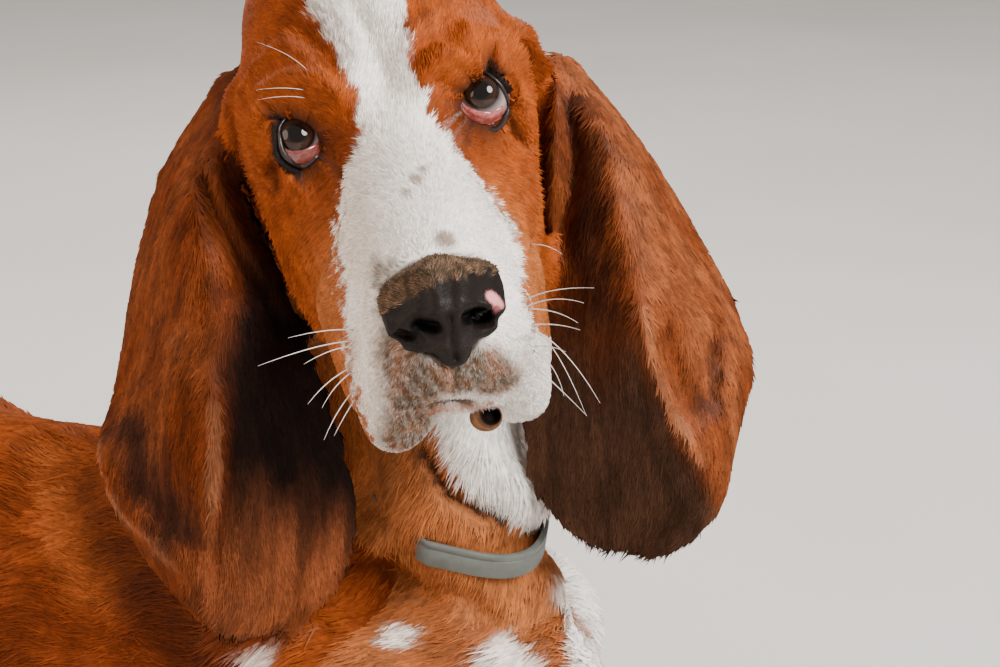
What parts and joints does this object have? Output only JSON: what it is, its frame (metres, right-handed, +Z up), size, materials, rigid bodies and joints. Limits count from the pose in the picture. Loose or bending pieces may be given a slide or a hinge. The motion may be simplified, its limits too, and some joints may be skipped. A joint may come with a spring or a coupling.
{
  "type": "basset hound",
  "caption": "Life-size still model of a basset hound lying down with its head raised and turned, long ears hanging, wearing a plain band collar.",
  "frame": {"origin": "middle of the box round the whole dog, on the floor it lies on", "axes": "+Z up, the body heads along -Y with the dog's left side towards +X"},
  "size_m": [0.3356, 0.9756, 0.5097],
  "materials": {
    "coat_face": "short red-brown fur with a white blaze, muzzle and lips",
    "coat_ear": "very short silky dark red-brown fur over thin skin",
    "coat_body": "short dense red-brown fur with white chest",
    "coat_white": "short white fur on the feet",
    "eye": "wet dark brown eye",
    "nose_leather": "damp pebbled black-brown nose leather with a pink patch",
    "collar_band": "matte grey-green band with a fine groove"
  },
  "bodies": {
    "root": {"head": "coat_face", "eye_left": "eye", "eye_right": "eye", "nose": "nose_leather", "ear_left": "coat_ear", "ear_right": "coat_ear", "neck": "coat_body", "collar": "collar_band", "torso": "coat_body", "foreleg_left": "coat_body", "foreleg_right": "coat_body", "hindleg_left": "coat_body", "hindleg_right": "coat_body", "forepaw_left": "coat_white", "forepaw_right": "coat_white", "hindpaw_left": "coat_white", "hindpaw_right": "coat_white", "tail": "coat_body"}
  },
  "joints": []
}
